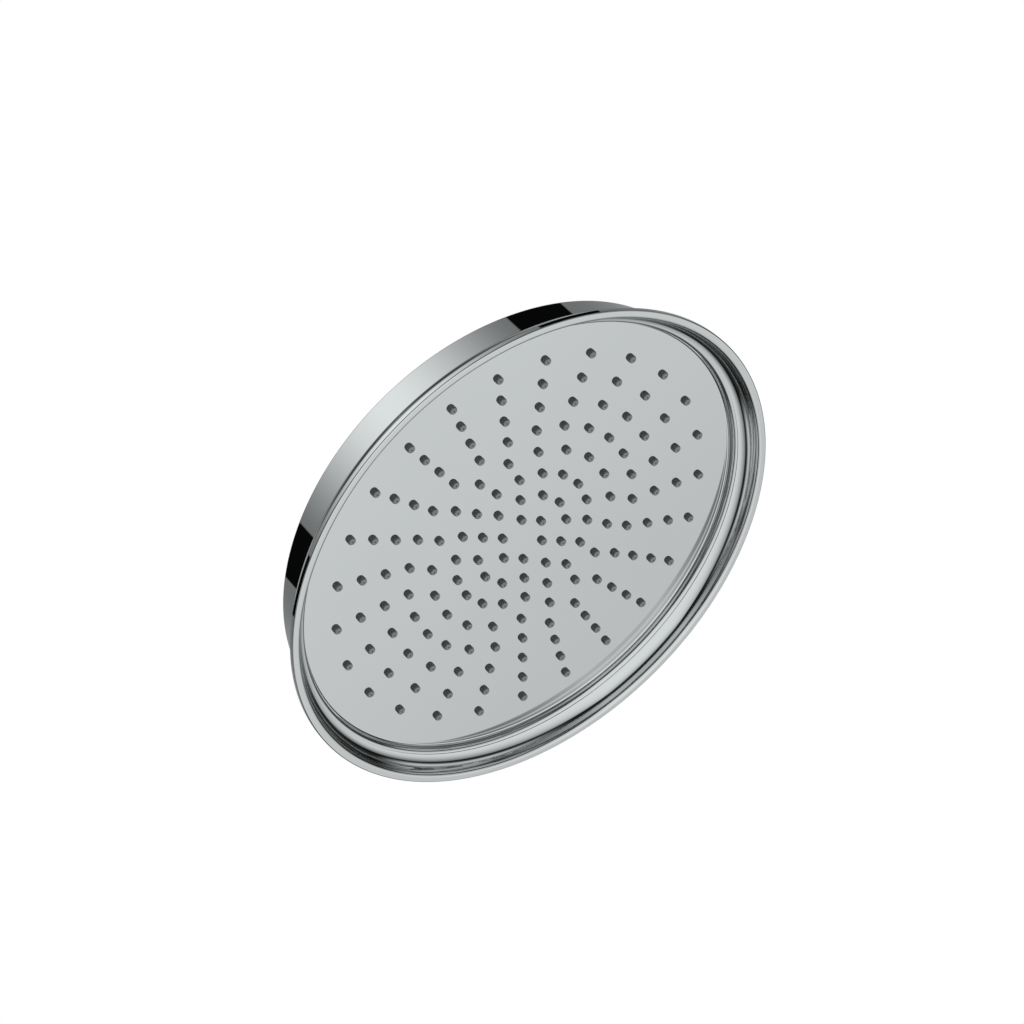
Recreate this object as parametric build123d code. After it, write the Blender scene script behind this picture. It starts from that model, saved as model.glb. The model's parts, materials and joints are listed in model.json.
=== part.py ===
"""Round overhead shower head with a moulded rim and a ball swivel.

Millimetres, +Z up, spray face down. The origin is the centre of the inlet mouth.
Heights in the sizes below are counted from the front of the spray face, up the axis.
"""

import os
from math import acos, cos, degrees, radians, sin, sqrt

from build123d import *

# Spray face and its nozzles
plate_radius = 138.75
plate_thickness = 1.5
plate_edge_land = 0.25
plate_fillet = 1.15
inner_ring_counts = [6, 12, 18]
outer_ring_counts = [19, 25, 25, 25, 25]
nozzle_ring_pitch = 15.0
nozzle_edge_distance = 5.5
nozzle_radius = 2.3
nozzle_sides = 6
nozzle_proud = 2.4
nozzle_chamfer = 1.0
spray_hole_side = 0.8
nozzle_clearance = 0.06
mat_thickness = 3.0

# Rim ring, from the pocket of the spray plate out to the lip
pocket_clearance = 0.15
ogee_radius = 2.3
ogee_start = 2.35
cove_radius = 8.1
cove_overlap = 1.6
cove_centre_depth = 12.9
cove_wall = 3.0
lip_round = 2.5
lip_land = 2.8
lip_thickness = 3.1
lip_chamfer = 0.4
drum_wall = 0.8
drum_joint_height = 3.0
ledge_width = 8.55
skirt_wall = 4.1
skirt_height = 12.0

# Back shell
shell_wall = 1.5
shell_thread_clearance = 0.1
drum_height = 18.0
drum_chamfer = 0.6
shoulder_width = 5.7
gasket_thickness = 1.5
gasket_play = 0.1
dome_inset = 2.2
dome_land_margin = 1.5
dome_top = 32.5
neck_hole_radius = 13.2

# Nozzle retainer and its screws
retainer_thickness = 2.0
retainer_play = 0.4
retainer_grip = 3.0
retainer_hub_radius = 9.0
retainer_ring_after = [3, 6]
retainer_ring_width = 6.0
spoke_count = 6
spoke_width = 5.0
spoke_height = 3.0
spoke_inset = 1.6
screw_count = 6
screw_angle = 30.0
boss_radius = 2.7
boss_gap = 0.1
boss_ledge_gap = 0.5
boss_mat_gap = 0.8
screw_radius = 1.25
screw_hole_clearance = 0.05
screw_pass_clearance = 0.35
screw_head_radius = 2.75
screw_head_height = 2.0
screw_slot_width = 0.8
screw_slot_depth = 1.0
screw_length = 5.3
screw_tip_gap = 0.3

# Swivel: the ball and everything round it, heights from the ball centre
ball_height = 57.0
ball_radius = 18.0
ball_cut_radius = 8.05
stem_radius = 12.25
inlet_height = 34.0
flat_depth = 1.0
flat_length = 10.0
thread_radius = 9.32
thread_length = 12.0
washer_pocket_radius = 10.6
washer_pocket_depth = 3.0
regulator_bore = 6.5
regulator_depth = 7.0
ball_way_radius = 5.0
ball_gap = 0.1

# Inlet neck with the ball cup
cup_top = 3.5
cup_gap = 0.6
cup_floor_gap = 0.44
cup_wall = 3.4
cup_thread_length = 9.5
seal_outer_radius = 15.0
seal_inner_radius = 9.5
seal_base = 1.1
seal_clearance = 0.05
neck_radius = 19.0
neck_flare = 2.5
neck_flange_radius = 26.0
neck_flange_thickness = 4.0
neck_gasket_thickness = 1.0
neck_gasket_inset = 1.0
spigot_clearance = 0.2
spigot_end = 20.0
neck_way_radius = 9.0

# Cap nut, liner, lock nut and washer
liner_wall = 2.4
liner_low = 2.5
liner_high = 8.5
liner_gap = 0.1
nut_wall = 3.45
nut_thread_clearance = 0.05
nut_lip_height = 1.37
nut_mouth_radius = 17.0
nut_edge_chamfer = 1.2
lock_washer_radius = 19.0
lock_washer_thickness = 1.5
lock_nut_flats = 34.0
lock_nut_height = 5.5
lock_nut_clearance = 0.05

# Filter and flow regulator in the inlet
insert_clearance = 0.2
screen_thickness = 0.5
screen_hole_side = 1.5
screen_pitch = 3.2
filter_washer_inner = 7.5
filter_washer_thickness = 2.4
regulator_height = 5.0
regulator_clearance = 0.1
regulator_port_radius = 0.9
regulator_port_circle = 3.4
regulator_port_count = 6
oring_section = 1.0
oring_low = 1.6
oring_clearance = 0.05

# Rim and shell radii, built outwards from the spray plate
pocket_radius = plate_radius + pocket_clearance
drum_radius = pocket_radius + drum_wall
cove_centre_radius = pocket_radius + ogee_radius - cove_overlap
lip_start_radius = cove_centre_radius + cove_radius + lip_round
lip_radius = lip_start_radius + lip_land
shell_inner_radius = drum_radius - shell_wall
skirt_radius = shell_inner_radius - shell_thread_clearance
skirt_inner_radius = skirt_radius - skirt_wall
shoulder_inner_radius = shell_inner_radius - shoulder_width
dome_start_radius = drum_radius - dome_inset
dome_land_radius = neck_flange_radius + dome_land_margin

# Nozzle, screw and retainer radii, built inwards from the spray plate
ledge_inner_radius = plate_radius - ledge_width
screw_circle = ledge_inner_radius - boss_ledge_gap - boss_radius
mat_radius = screw_circle - boss_radius - boss_mat_gap
middle_ring_radius = mat_radius - nozzle_edge_distance - nozzle_ring_pitch * len(outer_ring_counts)
inner_ring_pitch = middle_ring_radius / len(inner_ring_counts)
nozzle_rings = [(count, inner_ring_pitch * (step + 1)) for step, count in enumerate(inner_ring_counts)]
nozzle_rings += [(count, middle_ring_radius + nozzle_ring_pitch * (step + 1))
                 for step, count in enumerate(outer_ring_counts)]
retainer_outer_radius = skirt_inner_radius - retainer_play
retainer_band_inner = mat_radius - retainer_grip
retainer_rings = [(nozzle_rings[ring - 1][1] + nozzle_rings[ring][1]) / 2.0 for ring in retainer_ring_after]
spoke_length = retainer_outer_radius - spoke_inset

# Levels that follow from the sizes above
origin_height = ball_height + inlet_height
mat_top = plate_thickness + mat_thickness
ledge_top = mat_top
retainer_top = mat_top + retainer_thickness
lip_front = -(cove_centre_depth + lip_round)
lip_back = lip_front + lip_thickness
shoulder_low = skirt_height + gasket_thickness
dome_inner_top = dome_top - shell_wall
spigot_radius = neck_hole_radius - spigot_clearance
neck_flange_low = dome_top + neck_gasket_thickness
neck_flange_high = neck_flange_low + neck_flange_thickness

# Ball, cup and nut sizes that follow from the ball
seat_radius = ball_radius + ball_gap
ball_cut = sqrt(ball_radius**2 - ball_cut_radius**2)
flat_half = stem_radius - flat_depth
cup_bore = ball_radius + cup_gap
cup_thread_radius = cup_bore + cup_wall
seal_pocket_radius = seal_outer_radius + seal_clearance
cup_floor = sqrt(seat_radius**2 - seal_pocket_radius**2) + cup_floor_gap
seal_floor = sqrt(seat_radius**2 - seal_inner_radius**2) + seal_base
liner_outer = seat_radius + liner_wall
nut_sphere = liner_outer + liner_gap
nut_bore = cup_thread_radius + nut_thread_clearance
nut_radius = nut_bore + nut_wall
nut_mouth_height = sqrt(nut_sphere**2 - nut_mouth_radius**2)
nut_top = nut_mouth_height + nut_lip_height

# Levels inside the inlet
thread_end = inlet_height - thread_length
washer_seat = thread_end - washer_pocket_depth
regulator_seat = washer_seat - regulator_depth


def turned(edges, height=0.0):
    """Return the solid of a closed (radius, height) outline turned round Z, placed in the part's frame."""
    section = Plane.XZ * make_face(edges)
    return Pos(0, 0, height - origin_height) * revolve(section, Axis.Z)


def outline(points):
    """Return the closed line through (radius, height) points."""
    return Polyline(*points, close=True)


def round_arc(centre, radius, start, end):
    """Return an arc about a centre between two directions in degrees."""
    return CenterArc(centre, radius, start, end - start)


def ring_block(inner, outer, low, high, base=0.0):
    """Return a plain ring of rectangular section."""
    return turned(outline([(inner, low), (outer, low), (outer, high), (inner, high)]), base)


def nozzle_centres():
    """Return the (x, y) centre of every nozzle, ring by ring, each ring with one nozzle on -X."""
    centres = []
    for count, radius in nozzle_rings:
        for index in range(count):
            angle = radians(180.0 + 360.0 * index / count)
            centres.append((radius * cos(angle), radius * sin(angle)))
    return centres


def screw_centres():
    """Return the (x, y) centre of every retainer screw."""
    centres = []
    for index in range(screw_count):
        angle = radians(screw_angle + 360.0 * index / screw_count)
        centres.append((screw_circle * cos(angle), screw_circle * sin(angle)))
    return centres


def lift(height):
    """Return the move that takes a height counted from the spray face into the part's frame."""
    return Pos(0, 0, height - origin_height)


def rim_ring():
    """Return the moulded rim: ogee, cove and lip in front, ledge and threaded skirt behind."""
    cove_x = cove_centre_radius
    cove_z = -cove_centre_depth
    back_radius = cove_radius + cove_wall
    ogee_x = pocket_radius + ogee_radius
    cove_end = degrees(acos((ogee_x - cove_x) / cove_radius))
    cove_end_z = cove_z + cove_radius * sin(radians(cove_end))
    back_start = degrees(acos((drum_radius - cove_x) / back_radius))
    back_start_z = cove_z + back_radius * sin(radians(back_start))
    back_end_x = cove_x + sqrt(back_radius**2 - (lip_back - cove_z) ** 2)
    back_end = degrees(acos((back_end_x - cove_x) / back_radius))
    lip_x = lip_start_radius
    skirt_line = [
        (pocket_radius, -ogee_start),
        (pocket_radius, plate_thickness),
        (ledge_inner_radius, plate_thickness),
        (ledge_inner_radius, ledge_top),
        (skirt_inner_radius, ledge_top),
        (skirt_inner_radius, skirt_height),
        (skirt_radius, skirt_height),
        (skirt_radius, drum_joint_height),
        (drum_radius, drum_joint_height),
        (drum_radius, back_start_z),
    ]
    lip_line = [
        (back_end_x, lip_back),
        (lip_radius - lip_chamfer, lip_back),
        (lip_radius, lip_back - lip_chamfer),
        (lip_radius, lip_front + lip_chamfer),
        (lip_radius - lip_chamfer, lip_front),
        (lip_x, lip_front),
    ]
    edges = [
        Polyline(*skirt_line),
        round_arc((cove_x, cove_z), back_radius, back_start, back_end),
        Polyline(*lip_line),
        round_arc((lip_x, cove_z), lip_round, 270.0, 180.0),
        round_arc((cove_x, cove_z), cove_radius, 0.0, cove_end),
        Line((ogee_x, cove_end_z), (ogee_x, -ogee_start - ogee_radius)),
        round_arc((ogee_x, -ogee_start), ogee_radius, 270.0, 180.0),
    ]
    return turned(edges)


def spray_plate():
    """Return the spray plate with its filleted edge, nozzle holes and screw bosses."""
    fillet_x = plate_radius - plate_edge_land - plate_fillet
    edges = [
        Polyline((0, 0), (0, plate_thickness), (plate_radius, plate_thickness),
                 (plate_radius, -plate_fillet), (plate_radius - plate_edge_land, -plate_fillet)),
        round_arc((fillet_x, -plate_fillet), plate_fillet, 0.0, 90.0),
        Line((fillet_x, 0), (0, 0)),
    ]
    boss_height = mat_thickness - boss_gap
    boss = Pos(0, 0, plate_thickness) * extrude(Circle(boss_radius), boss_height)
    hole_depth = screw_length - retainer_thickness - boss_gap + screw_tip_gap
    hole_top = plate_thickness + boss_height
    hole = Pos(0, 0, hole_top - hole_depth) * extrude(Circle(screw_radius + screw_hole_clearance), hole_depth)
    plate = turned(edges)
    plate += [lift(0) * Pos(x, y) * boss for x, y in screw_centres()]
    plate -= [lift(0) * Pos(x, y) * hole for x, y in screw_centres()]
    opening = extrude(RegularPolygon(nozzle_radius + nozzle_clearance, nozzle_sides), plate_thickness)
    plate -= [lift(0) * Pos(x, y) * opening for x, y in nozzle_centres()]
    return plate


def nozzle_mat():
    """Return the silicone sheet with one hollow nozzle for every hole of the spray plate."""
    hexagon = RegularPolygon(nozzle_radius, nozzle_sides)
    straight = plate_thickness + nozzle_proud - nozzle_chamfer
    stem = Pos(0, 0, nozzle_chamfer - nozzle_proud) * extrude(hexagon, straight)
    tip = Pos(0, 0, nozzle_chamfer - nozzle_proud) * extrude(hexagon, -nozzle_chamfer, taper=45.0)
    spray_hole = Rectangle(spray_hole_side, spray_hole_side)
    bore = Pos(0, 0, -nozzle_proud) * extrude(spray_hole, nozzle_proud + mat_top)
    nozzle = stem + tip - bore
    sheet_outline = Circle(mat_radius)
    sheet_outline -= [Pos(x, y) * spray_hole for x, y in nozzle_centres()]
    sheet = lift(plate_thickness) * extrude(sheet_outline, mat_thickness)
    return sheet + [lift(0) * Pos(x, y) * nozzle for x, y in nozzle_centres()]


def nozzle_retainer():
    """Return the spoked plastic frame that presses the sheet to the plate between the nozzle rings."""
    frame = ring_block(retainer_band_inner, retainer_outer_radius, mat_top, retainer_top)
    frame += lift(mat_top) * extrude(Circle(retainer_hub_radius), retainer_thickness)
    half = retainer_ring_width / 2.0
    frame += [ring_block(radius - half, radius + half, mat_top, retainer_top) for radius in retainer_rings]
    spoke = Pos(spoke_length / 2.0, 0) * Rectangle(spoke_length, spoke_width)
    bar = extrude(spoke, spoke_height)
    step = 360.0 / spoke_count
    frame += [lift(retainer_top) * Rot(0, 0, step * index) * bar for index in range(spoke_count)]
    pass_hole = extrude(Circle(screw_radius + screw_pass_clearance), retainer_thickness)
    frame -= [lift(mat_top) * Pos(x, y) * pass_hole for x, y in screw_centres()]
    return frame


def retainer_screws():
    """Return the slotted screws of the retainer."""
    shank = Pos(0, 0, -screw_length) * extrude(Circle(screw_radius), screw_length)
    head = extrude(Circle(screw_head_radius), screw_head_height)
    slot_bottom = screw_head_height - screw_slot_depth
    slot_outline = Rectangle(3.0 * screw_head_radius, screw_slot_width)
    slot = Pos(0, 0, slot_bottom) * extrude(slot_outline, screw_slot_depth)
    screw = shank + head - slot
    return Compound([lift(retainer_top) * Pos(x, y) * screw for x, y in screw_centres()])


def face_gasket():
    """Return the flat seal between the rim's skirt and the shoulder of the shell."""
    inner = skirt_inner_radius + gasket_play
    outer = skirt_radius - gasket_play
    return ring_block(inner, outer, skirt_height, shoulder_low)


def back_shell():
    """Return the drum wall and the shallow dome behind it, one spun piece with a seal shoulder."""
    rise = dome_top - drum_height
    square = dome_start_radius**2 - dome_land_radius**2
    centre_z = dome_top - (square + rise**2) / (2.0 * rise)
    outer = sqrt(dome_land_radius**2 + (dome_top - centre_z) ** 2)
    inner = outer - shell_wall
    inner_land = sqrt(inner**2 - (dome_inner_top - centre_z) ** 2)
    inner_start_z = centre_z + sqrt(inner**2 - shoulder_inner_radius**2)
    start = degrees(acos(dome_start_radius / outer))
    land = degrees(acos(dome_land_radius / outer))
    inner_start = degrees(acos(shoulder_inner_radius / inner))
    inner_stop = degrees(acos(inner_land / inner))
    wall_line = [
        (dome_start_radius, drum_height),
        (drum_radius - drum_chamfer, drum_height),
        (drum_radius, drum_height - drum_chamfer),
        (drum_radius, drum_joint_height),
        (shell_inner_radius, drum_joint_height),
        (shell_inner_radius, shoulder_low),
        (shoulder_inner_radius, shoulder_low),
        (shoulder_inner_radius, inner_start_z),
    ]
    edges = [
        Polyline(*wall_line),
        round_arc((0, centre_z), inner, inner_start, inner_stop),
        Polyline((inner_land, dome_inner_top), (neck_hole_radius, dome_inner_top),
                 (neck_hole_radius, dome_top), (dome_land_radius, dome_top)),
        round_arc((0, centre_z), outer, land, start),
    ]
    return turned(edges)


def neck_gasket():
    """Return the flat seal under the flange of the neck."""
    return ring_block(neck_hole_radius, neck_flange_radius - neck_gasket_inset, dome_top, neck_flange_low)


def inlet_neck():
    """Return the neck: ball cup, flange and threaded spigot."""
    thread_low = cup_top + cup_thread_length
    flange_low = neck_flange_low - ball_height
    flange_high = neck_flange_high - ball_height
    end = spigot_end - ball_height
    points = [
        (cup_bore, -cup_top),
        (cup_thread_radius, -cup_top),
        (cup_thread_radius, -thread_low),
        (neck_radius, -thread_low),
        (neck_radius, flange_high + neck_flare),
        (neck_radius + neck_flare, flange_high),
        (neck_flange_radius, flange_high),
        (neck_flange_radius, flange_low),
        (spigot_radius, flange_low),
        (spigot_radius, end),
        (neck_way_radius, end),
        (neck_way_radius, -seal_floor),
        (seal_pocket_radius, -seal_floor),
        (seal_pocket_radius, -cup_floor),
        (cup_bore, -cup_floor),
    ]
    return turned(outline(points), ball_height)


def lock_washer():
    """Return the plain washer under the lock nut."""
    low = dome_inner_top - lock_washer_thickness
    return ring_block(neck_hole_radius, lock_washer_radius, low, dome_inner_top)


def lock_nut():
    """Return the hexagon nut that holds the neck from inside the dome."""
    low = dome_inner_top - lock_washer_thickness - lock_nut_height
    hexagon = RegularPolygon(lock_nut_flats / 2.0, 6, major_radius=False)
    return lift(low) * extrude(hexagon - Circle(spigot_radius + lock_nut_clearance), lock_nut_height)


def ball_seal():
    """Return the rubber seat under the ball."""
    outer_z = -sqrt(seat_radius**2 - seal_outer_radius**2)
    inner_z = -sqrt(seat_radius**2 - seal_inner_radius**2)
    start = -degrees(acos(seal_outer_radius / seat_radius))
    end = -degrees(acos(seal_inner_radius / seat_radius))
    edges = [
        Polyline((seal_inner_radius, inner_z), (seal_inner_radius, -seal_floor),
                 (seal_outer_radius, -seal_floor), (seal_outer_radius, outer_z)),
        round_arc((0, 0), seat_radius, start, end),
    ]
    return turned(edges, ball_height)


def ball_connector():
    """Return the swivel ball with its stem, pipe thread bore, spanner flats and water way."""
    join_z = sqrt(ball_radius**2 - stem_radius**2)
    cut_x = sqrt(ball_radius**2 - ball_cut**2)
    start = -degrees(acos(cut_x / ball_radius))
    end = degrees(acos(stem_radius / ball_radius))
    line = [
        (stem_radius, join_z),
        (stem_radius, inlet_height),
        (thread_radius, inlet_height),
        (thread_radius, thread_end),
        (washer_pocket_radius, thread_end),
        (washer_pocket_radius, washer_seat),
        (regulator_bore, washer_seat),
        (regulator_bore, regulator_seat),
        (ball_way_radius, regulator_seat),
        (ball_way_radius, -ball_cut),
        (cut_x, -ball_cut),
    ]
    edges = [Polyline(*line), round_arc((0, 0), ball_radius, start, end)]
    body = turned(edges, ball_height)
    depth = stem_radius - flat_half
    block = Pos(flat_half + depth, 0, -flat_length / 2.0) * Box(2.0 * depth, 4.0 * stem_radius, flat_length)
    return body - [block, Rot(0, 0, 180) * block]


def ball_liner():
    """Return the acetal ring between the upper half of the ball and the cap nut."""
    inner_low = sqrt(seat_radius**2 - liner_low**2)
    inner_high = sqrt(seat_radius**2 - liner_high**2)
    outer_low = sqrt(liner_outer**2 - liner_low**2)
    outer_high = sqrt(liner_outer**2 - liner_high**2)
    inner_start = degrees(acos(inner_low / seat_radius))
    inner_end = degrees(acos(inner_high / seat_radius))
    outer_start = degrees(acos(outer_high / liner_outer))
    outer_end = degrees(acos(outer_low / liner_outer))
    edges = [
        round_arc((0, 0), seat_radius, inner_start, inner_end),
        Line((inner_high, liner_high), (outer_high, liner_high)),
        round_arc((0, 0), liner_outer, outer_start, outer_end),
        Line((outer_low, liner_low), (inner_low, liner_low)),
    ]
    return turned(edges, ball_height)


def cap_nut():
    """Return the chrome nut that closes the ball cup."""
    low = -(cup_top + cup_thread_length)
    mouth = degrees(acos(nut_mouth_radius / nut_sphere))
    top_inner = nut_mouth_radius + nut_lip_height
    line = [
        (nut_mouth_radius, nut_mouth_height),
        (top_inner, nut_top),
        (nut_radius - nut_edge_chamfer, nut_top),
        (nut_radius, nut_top - nut_edge_chamfer),
        (nut_radius, low),
        (nut_bore, low),
        (nut_bore, -cup_top),
        (nut_sphere, -cup_top),
        (nut_sphere, 0),
    ]
    return turned([Polyline(*line), round_arc((0, 0), nut_sphere, 0.0, mouth)], ball_height)


def filter_screen():
    """Return the perforated strainer disc on the seat below the thread."""
    disc = Circle(washer_pocket_radius - insert_clearance)
    hole = Rectangle(screen_hole_side, screen_hole_side)
    steps = range(-1, 2)
    disc -= [Pos(screen_pitch * column, screen_pitch * row) * hole for column in steps for row in steps]
    return lift(ball_height + washer_seat) * extrude(disc, screen_thickness)


def filter_washer():
    """Return the rubber washer that seals the pipe end and holds the strainer down."""
    low = washer_seat + screen_thickness
    outer = washer_pocket_radius - insert_clearance
    return ring_block(filter_washer_inner, outer, low, low + filter_washer_thickness, ball_height)


def flow_regulator():
    """Return the plastic flow regulator with its ports and seal groove."""
    outer = regulator_bore - regulator_clearance
    groove = regulator_bore - oring_section - oring_clearance
    high = oring_low + oring_section + 2.0 * oring_clearance
    points = [(0, 0), (outer, 0), (outer, oring_low), (groove, oring_low), (groove, high), (outer, high),
              (outer, regulator_height), (0, regulator_height)]
    body = turned(outline(points), ball_height + regulator_seat)
    port = extrude(Circle(regulator_port_radius), regulator_height)
    step = 360.0 / regulator_port_count
    base = lift(ball_height + regulator_seat)
    port = Pos(regulator_port_circle, 0) * port
    return body - [base * Rot(0, 0, step * index) * port for index in range(regulator_port_count)]


def regulator_seal():
    """Return the square-section ring in the groove of the regulator."""
    outer = regulator_bore - oring_clearance
    low = oring_low + oring_clearance
    inner = regulator_bore - oring_section
    return ring_block(inner, outer, low, low + oring_section, ball_height + regulator_seat)


pieces = {
    "rim_ring": rim_ring,
    "spray_plate": spray_plate,
    "nozzle_mat": nozzle_mat,
    "nozzle_retainer": nozzle_retainer,
    "retainer_screws": retainer_screws,
    "face_gasket": face_gasket,
    "back_shell": back_shell,
    "neck_gasket": neck_gasket,
    "inlet_neck": inlet_neck,
    "lock_washer": lock_washer,
    "lock_nut": lock_nut,
    "ball_seal": ball_seal,
    "ball_connector": ball_connector,
    "ball_liner": ball_liner,
    "cap_nut": cap_nut,
    "filter_screen": filter_screen,
    "filter_washer": filter_washer,
    "flow_regulator": flow_regulator,
    "regulator_seal": regulator_seal,
}

os.makedirs("parts", exist_ok=True)
for name, build in pieces.items():
    export_step(build(), f"parts/{name}.step")
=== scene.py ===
"""Looks of a round chrome overhead shower head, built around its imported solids.

Sizes of the head are in millimetres and become metres where a mesh is made, and the studio and the
finishes are in metres. Heights called drop are counted from the front of the spray face towards the
spray, and rise is counted the other way.
"""

import json
import logging
import math
from dataclasses import dataclass
from enum import Enum
from typing import Any, ClassVar, Iterator, Optional, Sequence, Union

import bpy
from mathutils import Matrix, Vector


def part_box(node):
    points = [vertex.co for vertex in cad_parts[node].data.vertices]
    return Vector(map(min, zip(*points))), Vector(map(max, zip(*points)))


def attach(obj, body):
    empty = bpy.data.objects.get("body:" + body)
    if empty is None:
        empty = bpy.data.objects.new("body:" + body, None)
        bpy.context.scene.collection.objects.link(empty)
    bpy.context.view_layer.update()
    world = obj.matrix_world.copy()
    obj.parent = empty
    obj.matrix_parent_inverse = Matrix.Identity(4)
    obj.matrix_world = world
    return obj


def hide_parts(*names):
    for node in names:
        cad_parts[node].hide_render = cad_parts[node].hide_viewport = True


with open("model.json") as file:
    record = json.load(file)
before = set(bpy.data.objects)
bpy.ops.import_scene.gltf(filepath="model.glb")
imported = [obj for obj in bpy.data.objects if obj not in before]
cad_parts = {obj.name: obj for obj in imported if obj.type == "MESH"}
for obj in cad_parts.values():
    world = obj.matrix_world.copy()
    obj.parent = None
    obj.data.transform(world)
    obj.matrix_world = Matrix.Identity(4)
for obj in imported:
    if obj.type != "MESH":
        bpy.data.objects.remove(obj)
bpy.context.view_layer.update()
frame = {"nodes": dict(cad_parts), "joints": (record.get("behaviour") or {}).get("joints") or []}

MM = 0.001
MERGE = 0.002 * MM  # corners nearer than this become one
SHARP = 28.0  # an edge that turns by more degrees stays sharp
QUARTER = 90.0  # degrees
ROUND = 256  # steps round the axis of a large turned piece
FULL_TURN = 2.0 * math.pi
COARSE = 2.0  # detail of a noise
FINE = 4.0

log = logging.getLogger("shower_head")

Colour = tuple[float, float, float]
Point = tuple[float, float]
Span = tuple[float, float]
BLACK: Colour = (0.0, 0.0, 0.0)
WHITE: Colour = (1.0, 1.0, 1.0)


class Body(Enum):
    """Rigid bodies that the pieces ride on."""

    INLET = "inlet"
    HEAD = "head"


class Slot(Enum):
    """Material slots of the record."""

    CHROME = "chrome"
    SILICONE = "silicone"
    SEAL = "seal_rubber"
    PLASTIC = "plastic"
    ACETAL = "acetal"
    BRASS = "brass"
    STEEL = "steel"


class Wire:
    """One output socket of a shader sheet, with arithmetic that adds Math nodes."""

    def __init__(self, sheet: "Sheet", socket: bpy.types.NodeSocket) -> None:
        """Keep the sheet and the socket."""
        self.sheet = sheet
        self.socket = socket

    def __add__(self, other: "Value") -> "Wire":
        """Return self + other."""
        return self.sheet.math("ADD", self, other)

    __radd__ = __add__

    def __sub__(self, other: "Value") -> "Wire":
        """Return self - other."""
        return self.sheet.math("SUBTRACT", self, other)

    def __rsub__(self, other: "Value") -> "Wire":
        """Return other - self."""
        return self.sheet.math("SUBTRACT", other, self)

    def __mul__(self, other: "Value") -> "Wire":
        """Return self * other."""
        return self.sheet.math("MULTIPLY", self, other)

    __rmul__ = __mul__

    def __truediv__(self, other: "Value") -> "Wire":
        """Return self / other."""
        return self.sheet.math("DIVIDE", self, other)

    def __rtruediv__(self, other: "Value") -> "Wire":
        """Return other / self."""
        return self.sheet.math("DIVIDE", other, self)

    def __neg__(self) -> "Wire":
        """Return self with its sign turned."""
        return self.sheet.math("MULTIPLY", self, -1.0)

    def __abs__(self) -> "Wire":
        """Return the size of self without its sign."""
        return self.sheet.math("ABSOLUTE", self)

    def ramp(self, low: float, high: float) -> "Wire":
        """Make a smooth step out of the wire.

        Args:
            low: value that gives 0.
            high: value that gives 1.

        Returns:
            The smooth step.
        """
        settings = {"interpolation_type": "SMOOTHSTEP"}
        inputs = {"Value": self, "From Min": low, "From Max": high}
        return self.sheet.add("ShaderNodeMapRange", settings, inputs)["Result"]


Value = Union[Wire, float, Sequence[float]]


class Outputs:
    """The outputs of a new node, by name."""

    def __init__(self, sheet: "Sheet", node: bpy.types.Node) -> None:
        """Keep the sheet and the node."""
        self.sheet = sheet
        self.node = node

    def __getitem__(self, name: Union[str, int]) -> Wire:
        """Return the output with that name or number as a wire."""
        return Wire(self.sheet, self.node.outputs[name])


class Sheet:
    """A node tree that nodes are added to."""

    def __init__(self, tree: bpy.types.NodeTree) -> None:
        """Empty the tree and keep it."""
        self.tree = tree
        tree.nodes.clear()

    def add(self, kind: str, settings: Optional[dict[str, Any]] = None,
            inputs: Optional[dict[Union[str, int], Value]] = None) -> Outputs:
        """Add one node.

        Args:
            kind: Blender's name of the node type.
            settings: attributes of the node, set before its sockets.
            inputs: values or wires of its input sockets, by name or number.

        Returns:
            The outputs of the node.
        """
        node = self.tree.nodes.new(kind)
        for name, value in (settings or {}).items():
            setattr(node, name, value)
        for name, value in (inputs or {}).items():
            socket = node.inputs[name]
            if isinstance(value, Wire):
                self.tree.links.new(value.socket, socket)
            else:
                socket.default_value = value
        return Outputs(self, node)

    def math(self, operation: str, *values: Value) -> Wire:
        """Return the value of a Math node."""
        inputs = dict(enumerate(values))
        return self.add("ShaderNodeMath", {"operation": operation}, inputs)[0]

    def mix(self, factor: Value, first: Union[Wire, Colour], second: Union[Wire, Colour]) -> Wire:
        """Mix two colours.

        Args:
            factor: share of the second colour.
            first: colour at 0.
            second: colour at 1.

        Returns:
            The mixed colour.
        """
        ends = [c if isinstance(c, Wire) else (*c, 1.0) for c in (first, second)]
        inputs = {0: factor, 6: ends[0], 7: ends[1]}
        return self.add("ShaderNodeMix", {"data_type": "RGBA"}, inputs)[2]

    def place(self) -> Wire:
        """Return the object coordinates."""
        return self.add("ShaderNodeTexCoord")["Object"]

    def axes(self) -> tuple[Wire, Wire, Wire]:
        """Return the three object coordinates apart."""
        parts = self.add("ShaderNodeSeparateXYZ", None, {0: self.place()})
        return parts["X"], parts["Y"], parts["Z"]

    def noise(self, size: float, detail: float = 3.0) -> Wire:
        """Return noise from 0 to 1 whose spots are about size metres across."""
        inputs = {"Vector": self.place(), "Scale": 1.0 / size, "Detail": detail}
        return self.add("ShaderNodeTexNoise", None, inputs)[0]

    def bump(self, height: Wire, distance: float, strength: float) -> Wire:
        """Return the normal of a bumpy surface."""
        inputs = {"Height": height, "Distance": distance, "Strength": strength}
        return self.add("ShaderNodeBump", None, inputs)["Normal"]

    def lamp(self, colour: Wire) -> Wire:
        """Return a light of this colour."""
        return self.add("ShaderNodeEmission", None, {"Color": colour, "Strength": 1.0})[0]

    def surface(self, inputs: dict[Union[str, int], Value]) -> None:
        """Finish the tree with a Principled shader that has these inputs."""
        shader = self.add("ShaderNodeBsdfPrincipled", None, inputs)["BSDF"]
        self.add("ShaderNodeOutputMaterial", None, {"Surface": shader})


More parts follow.
